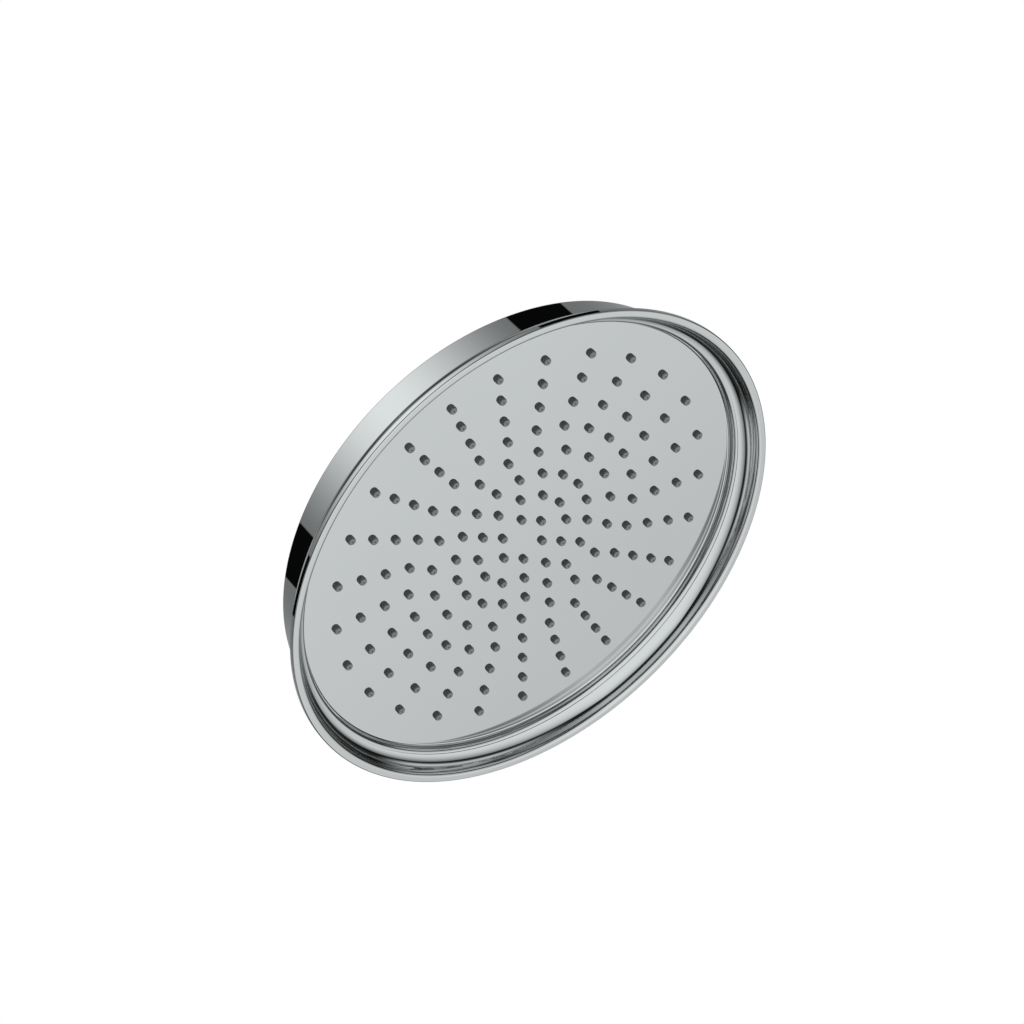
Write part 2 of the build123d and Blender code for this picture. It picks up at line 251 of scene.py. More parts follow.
@dataclass(frozen=True)
class Finish:
    """A surface finish; each kind draws its own shader."""

    slot: Slot
    name: str

    def draw(self, sheet: Sheet) -> None:
        """Draw the shader of this finish."""
        raise NotImplementedError

    def material(self) -> bpy.types.Material:
        """Make the material the first time it is asked for.

        Returns:
            The material.
        """
        found = bpy.data.materials.get(self.name)
        if found is None:
            found = bpy.data.materials.new(self.name)
            found.use_nodes = True
            self.draw(Sheet(found.node_tree))
        return found


@dataclass(frozen=True)
class PolishedChrome(Finish):
    """Bright plate with a breath of haze."""

    slot: Slot = Slot.CHROME
    name: str = "polished_chrome"
    tint: Colour = (0.736, 0.738, 0.74)
    haze_tint: Colour = (0.726, 0.728, 0.73)
    roughness: float = 0.012
    haze: float = 0.010
    cloud_size: float = 0.08
    cloud: Span = (0.45, 0.75)

    def draw(self, sheet: Sheet) -> None:
        """Draw the chrome.

        Args:
            sheet: the tree to draw in.
        """
        cloud = sheet.noise(self.cloud_size, FINE).ramp(*self.cloud)
        sheet.surface({
            "Metallic": 1.0,
            "Base Color": sheet.mix(cloud, self.tint, self.haze_tint),
            "Roughness": self.roughness + cloud * self.haze,
        })


@dataclass(frozen=True)
class MouldedSilicone(Finish):
    """Grey nozzle rubber with painted light on the tips: they are coloured paler and cooler, standing in
    for the bright floor's light falling on them.

    Heights are counted from the object's origin, in metres.
    """

    slot: Slot = Slot.SILICONE
    name: str = "moulded_silicone"
    grey: Colour = (0.125, 0.121, 0.122)
    dusty: Colour = (0.155, 0.150, 0.153)
    # pale is a painted highlight: the colour given to the lowest heights, the nozzle tips, in place of the
    # floor's light on them
    pale: Colour = (0.335, 0.318, 0.342)
    wear_and_tip_light: Span = (-0.0933, -0.0927)
    grain_size: float = 0.0011
    dust: Span = (0.35, 0.75)
    roughness: float = 0.46
    spread: float = 0.12
    bump_depth: float = 0.00002
    bump_strength: float = 0.25

    def draw(self, sheet: Sheet) -> None:
        """Draw the silicone.

        Args:
            sheet: the tree to draw in.
        """
        grain = sheet.noise(self.grain_size, COARSE)
        _, _, height = sheet.axes()
        # painted light: 1 on the nozzle tips, 0 above them, so the tips take the pale colour
        wear_and_tip_light = 1.0 - height.ramp(*self.wear_and_tip_light)
        body = sheet.mix(grain.ramp(*self.dust), self.grey, self.dusty)
        sheet.surface({
            "Base Color": sheet.mix(wear_and_tip_light, body, self.pale),
            "Roughness": self.roughness + grain * self.spread,
            "Normal": sheet.bump(grain, self.bump_depth, self.bump_strength),
        })


@dataclass(frozen=True)
class MouldedRubber(Finish):
    """Black seal rubber with a dusty bloom."""

    slot: Slot = Slot.SEAL
    name: str = "seal_rubber"
    black: Colour = (0.02, 0.02, 0.022)
    bloom: Colour = (0.05, 0.05, 0.052)
    dust_size: float = 0.003
    dust: Span = (0.4, 0.8)
    roughness: float = 0.55
    spread: float = 0.25
    grain_size: float = 0.0005
    bump_depth: float = 0.00003
    bump_strength: float = 0.4

    def draw(self, sheet: Sheet) -> None:
        """Draw the rubber.

        Args:
            sheet: the tree to draw in.
        """
        dust = sheet.noise(self.dust_size, FINE)
        grain = sheet.noise(self.grain_size)
        sheet.surface({
            "Base Color": sheet.mix(dust.ramp(*self.dust), self.black, self.bloom),
            "Roughness": self.roughness + dust * self.spread,
            "Normal": sheet.bump(grain, self.bump_depth, self.bump_strength),
        })


@dataclass(frozen=True)
class MouldedPlastic(Finish):
    """Moulded plastic with a fine spark-eroded grain."""

    slot: Slot = Slot.PLASTIC
    name: str = "moulded_plastic"
    dark: Colour = (0.10, 0.10, 0.105)
    light: Colour = (0.14, 0.14, 0.145)
    grain_size: float = 0.0007
    roughness: float = 0.38
    spread: float = 0.2
    bump_depth: float = 0.00003
    bump_strength: float = 0.5

    def draw(self, sheet: Sheet) -> None:
        """Draw the plastic.

        Args:
            sheet: the tree to draw in.
        """
        grain = sheet.noise(self.grain_size, COARSE)
        sheet.surface({
            "Base Color": sheet.mix(grain, self.dark, self.light),
            "Roughness": self.roughness + grain * self.spread,
            "Normal": sheet.bump(grain, self.bump_depth, self.bump_strength),
        })


@dataclass(frozen=True)
class TurnedMetal(Finish):
    """Plain metal with fine rings left by turning about the object's axis."""

    slot: Slot = Slot.BRASS
    name: str = "turned_brass"
    tint: Colour = (0.62, 0.46, 0.20)
    wear_and_tip_light: Colour = (0.50, 0.36, 0.15)
    ring_rate: float = 9000.0
    stain_size: float = 0.012
    stain: Span = (0.4, 0.8)
    roughness: float = 0.22
    ring_spread: float = 0.08
    stain_spread: float = 0.1
    bump_depth: float = 0.00001
    bump_strength: float = 0.3

    def draw(self, sheet: Sheet) -> None:
        """Draw the metal.

        Args:
            sheet: the tree to draw in.
        """
        x, y, z = sheet.axes()
        radius = sheet.math("SQRT", x * x + y * y)
        rings = sheet.math("SINE", (radius + z) * self.ring_rate) * 0.5 + 0.5
        stain = sheet.noise(self.stain_size, FINE)
        sheet.surface({
            "Metallic": 1.0,
            "Base Color": sheet.mix(stain.ramp(*self.stain), self.tint, self.wear_and_tip_light),
            "Roughness": self.roughness + rings * self.ring_spread + stain * self.stain_spread,
            "Normal": sheet.bump(rings, self.bump_depth, self.bump_strength),
        })


CHROME = PolishedChrome()
SILICONE = MouldedSilicone()
SEAL = MouldedRubber()
PLASTIC = MouldedPlastic()
ACETAL = MouldedPlastic(Slot.ACETAL, "turned_acetal", (0.70, 0.69, 0.65), (0.78, 0.77, 0.73))
BRASS = TurnedMetal()
STEEL = TurnedMetal(Slot.STEEL, "turned_steel", (0.55, 0.55, 0.55), (0.44, 0.44, 0.45))


class Lathe:
    """Draws a section with extrude and spin, and turns it round Z.

    Points are (radius, height) in millimetres in the part's frame.
    """

    def __init__(self, name: str, start: Point) -> None:
        """Begin a piece.

        Args:
            name: name of the piece.
            start: first corner of its section.
        """
        bpy.ops.object.select_all(action="DESELECT")
        bpy.ops.mesh.primitive_plane_add(size=MM, location=(0.0, 0.0, 0.0))
        self.piece = bpy.context.object
        self.piece.name = name
        self.piece.data.name = name
        bpy.ops.object.mode_set(mode="EDIT")
        bpy.ops.mesh.select_all(action="SELECT")
        bpy.ops.mesh.merge(type="CENTER")
        bpy.ops.transform.translate(value=(start[0] * MM, 0.0, start[1] * MM))
        self.tip = start
        self.start = start

    def line(self, *points: Point) -> "Lathe":
        """Draw straight runs.

        Args:
            points: corners to go to, in turn.

        Returns:
            The lathe itself.
        """
        for point in points:
            move = ((point[0] - self.tip[0]) * MM, 0.0, (point[1] - self.tip[1]) * MM)
            bpy.ops.mesh.extrude_vertices_move(TRANSFORM_OT_translate={"value": move})
            self.tip = point
        return self

    def arc(self, centre: Point, degrees: float, steps: int = 10) -> "Lathe":
        """Draw an arc from the tip.

        Args:
            centre: centre of the arc.
            degrees: angle, counted from the radius axis towards the height axis.
            steps: number of edges.

        Returns:
            The lathe itself.
        """
        angle = math.radians(degrees)
        pivot = (centre[0] * MM, 0.0, centre[1] * MM)
        bpy.ops.mesh.spin(steps=steps, angle=angle, center=pivot, axis=(0.0, 1.0, 0.0))
        across = self.tip[0] - centre[0]
        up = self.tip[1] - centre[1]
        self.tip = (centre[0] + across * math.cos(angle) - up * math.sin(angle),
                    centre[1] + across * math.sin(angle) + up * math.cos(angle))
        return self

    def close(self) -> "Lathe":
        """Draw the last run back to the first corner."""
        return self.line(self.start)

    def turn(self, segments: int = ROUND, sharp: float = SHARP) -> bpy.types.Object:
        """Turn the section into a closed piece.

        Args:
            segments: number of steps round the axis.
            sharp: angle in degrees above which an edge stays sharp.

        Returns:
            The finished piece.
        """
        bpy.ops.mesh.select_all(action="SELECT")
        bpy.ops.mesh.spin(steps=segments, angle=FULL_TURN, center=(0, 0, 0), axis=(0, 0, 1))
        bpy.ops.mesh.select_all(action="SELECT")
        bpy.ops.mesh.remove_doubles(threshold=MERGE)
        bpy.ops.mesh.normals_make_consistent(inside=False)
        bpy.ops.object.mode_set(mode="OBJECT")
        bpy.ops.object.shade_smooth_by_angle(angle=math.radians(sharp))
        even = self.piece.modifiers.new("even_normals", "WEIGHTED_NORMAL")
        even.keep_sharp = True
        bpy.ops.object.modifier_apply(modifier=even.name)
        return self.piece


def settle(piece: bpy.types.Object, finish: Finish, body: Body, *nodes: str) -> bpy.types.Object:
    """Give a finished piece its material and body, and let it stand for CAD nodes.

    Args:
        piece: the finished mesh object.
        finish: its surface finish.
        body: the body it rides on.
        nodes: names of the CAD nodes that it replaces.

    Returns:
        The piece.
    """
    piece.data.materials.clear()
    piece.data.materials.append(finish.material())
    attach(piece, body.value)
    if nodes:
        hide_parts(*nodes)
    log.info("%s: %d faces, %s", piece.name, len(piece.data.polygons), finish.name)
    return piece


@dataclass
class SprayHead:
    """Rim, spray plate and nozzles: all that shows from below."""

    face: float
    plate_radius: float = 138.75
    plate_thickness: float = 1.5
    plate_land: float = 0.25
    plate_fillet: float = 1.15
    gap: float = 0.15
    ogee: float = 2.3
    ogee_start: float = 2.35
    cove: float = 8.1
    cove_centre: Point = (139.6, 12.9)
    cove_turn: float = 17.0
    cove_end: float = 0.8
    cove_wall: float = 3.0
    lip_round: float = 2.5
    lip_radius: float = 152.998
    lip_thickness: float = 3.1
    lip_edge: float = 0.4
    lip_front_round: float = 0.75
    drum_radius: float = 139.7
    drum_joint: float = 3.0
    ledge_radius: float = 130.2
    ledge_rise: float = 4.5
    skirt: Span = (134.0, 138.1)
    skirt_rise: float = 12.0
    mat_radius: float = 123.5
    mat_thickness: float = 3.0
    mat_sides: int = 96
    nozzle_radius: float = 2.3
    nozzle_drop: float = 2.4
    nozzle_round: float = 1.0
    nozzle_sides: int = 12
    nozzle_sharp: float = 40.0
    spray_hole: float = 0.45
    rings: ClassVar[list[tuple[int, float]]] = [
        (6, 43.0 / 3.0), (12, 86.0 / 3.0), (18, 43.0), (19, 58.0),
        (25, 73.0), (25, 88.0), (25, 103.0), (25, 118.0),
    ]

    def at(self, radius: float, drop: float) -> Point:
        """Return the section point at a radius and a drop below the spray face."""
        return (radius, self.face - drop)

    def build_rim(self) -> bpy.types.Object:
        """Build the moulded rim with its ledge and skirt.

        Returns:
            The finished piece.
        """
        pocket = self.plate_radius + self.gap
        ogee_x = pocket + self.ogee
        cove_x, cove_drop = self.cove_centre
        back = self.cove + self.cove_wall
        lip_front = cove_drop + self.lip_round
        lip_back = lip_front - self.lip_thickness
        turn = math.radians(self.cove_turn)
        end_x = cove_x + (self.cove - self.cove_end) * math.cos(turn)
        end_drop = cove_drop - (self.cove - self.cove_end) * math.sin(turn)
        wall_x = end_x + self.cove_end
        lip_x = wall_x + self.lip_round
        edge = self.lip_edge
        front = self.lip_front_round
        cove_start = math.degrees(math.acos((ogee_x - cove_x) / self.cove))
        back_start = math.degrees(math.acos((self.drum_radius - cove_x) / back))
        back_end = math.degrees(math.asin((cove_drop - lip_back) / back))
        lathe = Lathe("rim", self.at(pocket, self.ogee_start))
        lathe.line(self.at(pocket, -self.plate_thickness),
                   self.at(self.ledge_radius, -self.plate_thickness),
                   self.at(self.ledge_radius, -self.ledge_rise),
                   self.at(self.skirt[0], -self.ledge_rise),
                   self.at(self.skirt[0], -self.skirt_rise),
                   self.at(self.skirt[1], -self.skirt_rise),
                   self.at(self.skirt[1], -self.drum_joint),
                   self.at(self.drum_radius, -self.drum_joint),
                   self.at(self.drum_radius, cove_drop - back * math.sin(math.radians(back_start))))
        lathe.arc(self.at(cove_x, cove_drop), back_end - back_start, 16)
        lathe.line(self.at(self.lip_radius - edge, lip_back),
                   self.at(self.lip_radius, lip_back + edge),
                   self.at(self.lip_radius, lip_front - front))
        lathe.arc(self.at(self.lip_radius - front, lip_front - front), -QUARTER, 8)
        lathe.line(self.at(lip_x, lip_front))
        lathe.arc(self.at(lip_x, cove_drop), -QUARTER, 12)
        lathe.line(self.at(wall_x, end_drop))
        lathe.arc(self.at(end_x, end_drop), self.cove_turn, 4)
        lathe.arc(self.at(cove_x, cove_drop), cove_start - self.cove_turn, 24)
        lathe.line(self.at(ogee_x, self.ogee_start + self.ogee))
        lathe.arc(self.at(ogee_x, self.ogee_start), -QUARTER, 10)
        return settle(lathe.turn(), CHROME, Body.HEAD, "rim_ring")

    def build_plate(self) -> bpy.types.Object:
        """Build the mirror-bright spray plate with its filleted edge.

        Returns:
            The finished piece.
        """
        inner = self.plate_radius - self.plate_land
        middle = self.plate_radius / 2.0
        lathe = Lathe("spray_face", self.at(0.0, 0.0))
        lathe.line(self.at(middle, 0.0), self.at(inner - self.plate_fillet, 0.0))
        lathe.arc(self.at(inner - self.plate_fillet, self.plate_fillet), -QUARTER, 8)
        lathe.line(self.at(self.plate_radius, self.plate_fillet),
                   self.at(self.plate_radius, -self.plate_thickness),
                   self.at(middle, -self.plate_thickness),
                   self.at(0.0, -self.plate_thickness))
        return settle(lathe.turn(), CHROME, Body.HEAD, "spray_plate")

    def nozzle_places(self) -> Iterator[Point]:
        """Place the nozzles, each ring with one of them on -X.

        Yields:
            The centre of each nozzle.
        """
        for count, radius in self.rings:
            for index in range(count):
                angle = math.pi + FULL_TURN * index / count
                yield (radius * math.cos(angle), radius * math.sin(angle))

    def build_nozzle(self) -> bpy.types.Object:
        """Build one hollow nozzle on the axis, open at its foot inside the sheet.

        Returns:
            The nozzle, to be copied.
        """
        shoulder = self.nozzle_drop - self.nozzle_round
        top = self.nozzle_radius - self.nozzle_round
        lathe = Lathe("nozzle", self.at(self.nozzle_radius, -self.plate_thickness))
        lathe.line(self.at(self.nozzle_radius, shoulder))
        lathe.arc(self.at(top, shoulder), -QUARTER, 3)
        lathe.line(self.at(self.spray_hole, self.nozzle_drop),
                   self.at(self.spray_hole, -self.plate_thickness))
        return lathe.turn(self.nozzle_sides, self.nozzle_sharp)

    def build_mat(self) -> bpy.types.Object:
        """Build the silicone sheet with all its nozzles, one piece.

        Returns:
            The finished piece.
        """
        lathe = Lathe("nozzle_mat", self.at(0.0, -self.plate_thickness))
        back = -self.plate_thickness - self.mat_thickness
        lathe.line(self.at(self.mat_radius, -self.plate_thickness),
                   self.at(self.mat_radius, back), self.at(0.0, back))
        sheet = lathe.turn(self.mat_sides)
        model = self.build_nozzle()
        copies = []
        for x, y in self.nozzle_places():
            copy = model.copy()
            copy.data = model.data.copy()
            copy.data.transform(Matrix.Translation((x * MM, y * MM, 0.0)))
            bpy.context.collection.objects.link(copy)
            copies.append(copy)
        bpy.data.objects.remove(model)
        bpy.ops.object.select_all(action="DESELECT")
        for copy in copies:
            copy.select_set(True)
        sheet.select_set(True)
        bpy.context.view_layer.objects.active = sheet
        bpy.ops.object.join()
        return settle(sheet, SILICONE, Body.HEAD, "nozzle_mat")

    def build(self) -> None:
        """Build and dress the pieces."""
        self.build_rim()
        self.build_plate()
        self.build_mat()


@dataclass
class BackShell:
    """Drum wall and shallow dome behind the rim."""

    face: float
    drum_radius: float = 139.7
    wall: float = 1.5
    joint: float = 3.0
    height: float = 18.6
    edge: float = 1.0
    shoulder_radius: float = 132.5
    shoulder_rise: float = 13.5
    dome_start: float = 137.5
    land_radius: float = 27.5
    top: float = 32.5
    hole: float = 13.2

    def at(self, radius: float, rise: float) -> Point:
        """Return the section point at a radius and a rise above the spray face."""
        return (radius, self.face + rise)

    def build(self) -> bpy.types.Object:
        """Build the shell.

        Returns:
            The finished piece.
        """
        climb = self.top - self.height
        centre = self.top - (self.dome_start**2 - self.land_radius**2 + climb**2) / (2.0 * climb)
        outer = math.hypot(self.land_radius, self.top - centre)
        inner = outer - self.wall
        start = math.degrees(math.acos(self.dome_start / outer))
        land = math.degrees(math.acos(self.land_radius / outer))
        inner_land = math.sqrt(inner**2 - (self.top - self.wall - centre) ** 2)
        inner_rise = centre + math.sqrt(inner**2 - self.shoulder_radius**2)
        inner_start = math.degrees(math.acos(self.shoulder_radius / inner))
        inner_end = math.degrees(math.acos(inner_land / inner))
        rim = self.drum_radius - self.edge
        lathe = Lathe("back_dome", self.at(self.dome_start, self.height))
        lathe.line(self.at(rim, self.height))
        lathe.arc(self.at(rim, self.height - self.edge), -QUARTER, 6)
        lathe.line(self.at(self.drum_radius, self.joint),
                   self.at(self.drum_radius - self.wall, self.joint),
                   self.at(self.drum_radius - self.wall, self.shoulder_rise),
                   self.at(self.shoulder_radius, self.shoulder_rise),
                   self.at(self.shoulder_radius, inner_rise))
        lathe.arc(self.at(0.0, centre), inner_end - inner_start, 12)
        lathe.line(self.at(self.hole, self.top - self.wall), self.at(self.hole, self.top),
                   self.at(self.land_radius, self.top))
        lathe.arc(self.at(0.0, centre), start - land, 12)
        return settle(lathe.turn(), CHROME, Body.HEAD, "back_shell")


@dataclass
class Swivel:
    """Neck, cap nut and ball connector on the axis behind the dome."""

    ball: float
    sides: int = 144
    ball_radius: float = 18.0
    ball_cut: float = 16.1
    stem_radius: float = 12.25
    inlet: float = 34.0
    mouth_edge: float = 0.5
    flat_half: float = 11.25
    flat_length: float = 10.0
    flat_depth: float = 4.0
    flat_width: float = 30.0
    flat_over: float = 1.0
    thread_minor: float = 9.32
    thread_major: float = 10.48
    thread_pitch: float = 1.814
    thread_length: float = 12.0
    ridge_start: float = 0.4
    ridge_half: float = 0.42
    ridge_crest: float = 0.08
    ridge_root: float = 0.1
    ridge_steps: int = 48
    ridge_sharp: float = 30.0
    washer_pocket: float = 10.6
    washer_depth: float = 3.0
    regulator_bore: float = 6.5
    regulator_depth: float = 7.0
    way: float = 5.0
    nut_radius: float = 25.5
    nut_low: float = -13.0
    nut_top: float = 13.0
    nut_bore: float = 22.05
    nut_sphere: float = 20.6
    nut_mouth: float = 17.0
    nut_edge: float = 1.2
    nut_foot_edge: float = 0.5
    cup_top: float = -3.5
    knurl_low: float = -9.0
    knurl_high: float = 7.5
    knurl_depth: float = 0.45
    knurl_count: int = 72
    knurl_sharp: float = 20.0
    knurl_slack: float = 0.01
    groove_half: float = 0.4
    neck_radius: float = 19.0
    neck_flare: float = 2.5
    flange_radius: float = 26.0
    flange_low: float = -23.5
    flange_high: float = -19.5
    flange_edge: float = 0.8
    cup_radius: float = 22.0
    cup_bore: float = 18.6
    cup_floor: float = -10.5
    seal_pocket: float = 15.05
    seal_floor: float = -16.5
    spigot_radius: float = 13.0
    spigot_end: float = -37.0
    neck_way: float = 9.0

    def at(self, radius: float, height: float) -> Point:
        """Return the section point at a radius and a height from the ball's centre."""
        return (radius, self.ball + height)

    def build_neck(self) -> bpy.types.Object:
        """Build the neck: cup, waist, flange and spigot.

        Returns:
            The finished piece.
        """
        edge = self.flange_edge
        flare_top = self.flange_high + self.neck_flare
        lathe = Lathe("neck", self.at(self.cup_bore, self.cup_top))
        lathe.line(self.at(self.cup_radius, self.cup_top), self.at(self.cup_radius, self.nut_low),
                   self.at(self.neck_radius, self.nut_low), self.at(self.neck_radius, flare_top))
        lathe.arc(self.at(self.neck_radius + self.neck_flare, flare_top), QUARTER, 8)
        lathe.line(self.at(self.flange_radius - edge, self.flange_high))
        lathe.arc(self.at(self.flange_radius - edge, self.flange_high - edge), -QUARTER, 5)
        lathe.line(self.at(self.flange_radius, self.flange_low),
                   self.at(self.spigot_radius, self.flange_low),
                   self.at(self.spigot_radius, self.spigot_end),
                   self.at(self.neck_way, self.spigot_end), self.at(self.neck_way, self.seal_floor),
                   self.at(self.seal_pocket, self.seal_floor), self.at(self.seal_pocket, self.cup_floor),
                   self.at(self.cup_bore, self.cup_floor)).close()
        return settle(lathe.turn(self.sides), CHROME, Body.HEAD, "inlet_neck")

    def build_nut(self) -> bpy.types.Object:
        """Build the cap nut with a straight knurl round its middle.

        Returns:
            The finished piece.
        """
        edge = self.nut_edge
        mouth = math.sqrt(self.nut_sphere**2 - self.nut_mouth**2)
        top_inner = self.nut_mouth + self.nut_top - mouth
        angle = math.degrees(math.acos(self.nut_mouth / self.nut_sphere))
        lathe = Lathe("cap_nut", self.at(self.nut_mouth, mouth))
        lathe.line(self.at(top_inner, self.nut_top), self.at(self.nut_radius - edge, self.nut_top))
        lathe.arc(self.at(self.nut_radius - edge, self.nut_top - edge), -QUARTER, 6)
        groove = self.nut_radius - self.knurl_depth
        half = self.groove_half
        foot = self.nut_foot_edge
        lathe.line(self.at(self.nut_radius, self.knurl_high + 2.0 * half),
                   self.at(groove, self.knurl_high + half),
                   self.at(self.nut_radius, self.knurl_high), self.at(self.nut_radius, self.knurl_low),
                   self.at(groove, self.knurl_low - half),
                   self.at(self.nut_radius, self.knurl_low - 2.0 * half),
                   self.at(self.nut_radius, self.nut_low + foot),
                   self.at(self.nut_radius - foot, self.nut_low),
                   self.at(self.nut_bore, self.nut_low), self.at(self.nut_bore, self.cup_top),
                   self.at(self.nut_sphere, self.cup_top), self.at(self.nut_sphere, 0.0))
        lathe.arc(self.at(0.0, 0.0), angle, 12)
        piece = lathe.turn(2 * self.knurl_count)
        self.cut_knurl(piece)
        return settle(piece, CHROME, Body.HEAD, "cap_nut")

    def cut_knurl(self, piece: bpy.types.Object) -> None:
        """Draw every second edge of the grip band inwards.

        Args:
            piece: the turned nut.
        """
        low = (self.ball + self.knurl_low - self.knurl_slack) * MM
        high = (self.ball + self.knurl_high + self.knurl_slack) * MM
        skin = (self.nut_radius - self.knurl_slack) * MM
        bpy.ops.object.mode_set(mode="EDIT")
        bpy.ops.mesh.select_all(action="DESELECT")
        bpy.ops.object.mode_set(mode="OBJECT")
        step = FULL_TURN / (2 * self.knurl_count)
        for vertex in piece.data.vertices:
            x, y, z = vertex.co
            on_band = math.hypot(x, y) > skin and low < z < high
            odd = round(math.atan2(y, x) / step) % 2 == 1
            vertex.select = on_band and odd
        bpy.ops.object.mode_set(mode="EDIT")
        share = 1.0 - self.knurl_depth / self.nut_radius
        bpy.ops.transform.resize(value=(share, share, 1.0), center_override=(0.0, 0.0, 0.0))
        bpy.ops.object.mode_set(mode="OBJECT")
        bpy.ops.mesh.customdata_custom_splitnormals_clear()
        bpy.ops.object.shade_smooth_by_angle(angle=math.radians(self.knurl_sharp))

    def build_thread(self) -> bpy.types.Object:
        """Build the helical ridge of the inlet's thread.

        Returns:
            The finished piece.
        """
        turns = int(self.thread_length / self.thread_pitch) - 1
        low = self.inlet - self.thread_length + self.ridge_start
        half = self.ridge_half * self.thread_pitch
        crest = self.ridge_crest * self.thread_pitch
        root = self.thread_major + self.ridge_root
        lathe = Lathe("thread_ridge", self.at(root, low))
        lathe.line(self.at(self.thread_minor, low + half - crest),
                   self.at(self.thread_minor, low + half + crest),
                   self.at(root, low + 2.0 * half)).close()
        bpy.ops.mesh.select_all(action="SELECT")
        bpy.ops.mesh.remove_doubles(threshold=MERGE)
        bpy.ops.object.mode_set(mode="OBJECT")
        piece = lathe.piece
        screw = piece.modifiers.new("helix", "SCREW")
        screw.axis = "Z"
        screw.screw_offset = self.thread_pitch * MM
        screw.iterations = turns
        screw.steps = self.ridge_steps
        screw.render_steps = self.ridge_steps
        bpy.ops.object.modifier_apply(modifier=screw.name)
        bpy.ops.object.mode_set(mode="EDIT")
        bpy.ops.mesh.select_all(action="SELECT")
        bpy.ops.mesh.fill_holes(sides=4)
        bpy.ops.mesh.normals_make_consistent(inside=False)
        bpy.ops.object.mode_set(mode="OBJECT")
        bpy.ops.object.shade_smooth_by_angle(angle=math.radians(self.ridge_sharp))
        return settle(piece, CHROME, Body.INLET)

    def build_connector(self) -> bpy.types.Object:
        """Build the ball with its stem, spanner flats and bore.

        Returns:
            The finished piece.
        """
        join = math.sqrt(self.ball_radius**2 - self.stem_radius**2)
        cut = math.sqrt(self.ball_radius**2 - self.ball_cut**2)
        low_angle = -math.degrees(math.acos(cut / self.ball_radius))
        high_angle = math.degrees(math.acos(self.stem_radius / self.ball_radius))
        thread_end = self.inlet - self.thread_length
        seat = thread_end - self.washer_depth
        edge = self.mouth_edge
        lathe = Lathe("ball_stem", self.at(self.stem_radius, join))
        lathe.line(self.at(self.stem_radius, self.inlet - self.flat_length),
                   self.at(self.stem_radius, self.inlet - edge),
                   self.at(self.stem_radius - edge, self.inlet),
                   self.at(self.thread_major + edge, self.inlet),
                   self.at(self.thread_major, self.inlet - edge),
                   self.at(self.thread_major, thread_end), self.at(self.washer_pocket, thread_end),
                   self.at(self.washer_pocket, seat), self.at(self.regulator_bore, seat),
                   self.at(self.regulator_bore, seat - self.regulator_depth),
                   self.at(self.way, seat - self.regulator_depth), self.at(self.way, -self.ball_cut),
                   self.at(cut, -self.ball_cut))
        lathe.arc(self.at(0.0, 0.0), high_angle - low_angle, 36)
        piece = lathe.turn(self.sides)
        self.cut_flats(piece)
        return settle(piece, CHROME, Body.INLET, "ball_connector")

    def cut_flats(self, piece: bpy.types.Object) -> None:
        """Cut the two spanner flats with a block on each side.

        Args:
            piece: the turned ball and stem.
        """
        tall = self.flat_length + self.flat_over
        height = self.ball + self.inlet - self.flat_length + tall / 2.0
        for side in (-1.0, 1.0):
            place = (side * (self.flat_half + self.flat_depth / 2.0) * MM, 0.0, height * MM)
            bpy.ops.object.select_all(action="DESELECT")
            bpy.ops.mesh.primitive_cube_add(size=1.0, location=place)
            block = bpy.context.object
            block.scale = (self.flat_depth * MM, self.flat_width * MM, tall * MM)
            bpy.ops.object.transform_apply(location=True, rotation=True, scale=True)
            bpy.ops.object.select_all(action="DESELECT")
            piece.select_set(True)
            bpy.context.view_layer.objects.active = piece
            cutter = piece.modifiers.new("flat", "BOOLEAN")
            cutter.operation = "DIFFERENCE"
            cutter.object = block
            bpy.ops.object.modifier_apply(modifier=cutter.name)
            bpy.data.objects.remove(block)
        bpy.ops.object.shade_smooth_by_angle(angle=math.radians(SHARP))

    def build(self) -> None:
        """Build and dress the pieces."""
        self.build_neck()
        self.build_nut()
        self.build_connector()
        self.build_thread()


@dataclass(frozen=True)
class InnerPieces:
    """CAD nodes that keep their own shape, with the finish each gets."""

    finishes: ClassVar[dict[str, Finish]] = {
        "nozzle_retainer": PLASTIC,
        "retainer_screws": STEEL,
        "face_gasket": SEAL,
        "neck_gasket": SEAL,
        "lock_washer": BRASS,
        "lock_nut": BRASS,
        "ball_seal": SEAL,
        "ball_liner": ACETAL,
        "filter_screen": STEEL,
        "filter_washer": SEAL,
        "flow_regulator": PLASTIC,
        "regulator_seal": SEAL,
    }

    def dress(self) -> None:
        """Give each node its material."""
        for name, finish in self.finishes.items():
            node = frame["nodes"][name]
            node.data.materials.clear()
            node.data.materials.append(finish.material())
            log.info("%s: %s", name, finish.name)


@dataclass(frozen=True)
class Band:
    """A range with soft ends."""

    rise: Span
    fall: Span

    def of(self, wire: Wire) -> Wire:
        """Return 1 where the wire is inside the band and 0 outside."""
        return wire.ramp(*self.rise) * (1.0 - wire.ramp(*self.fall))


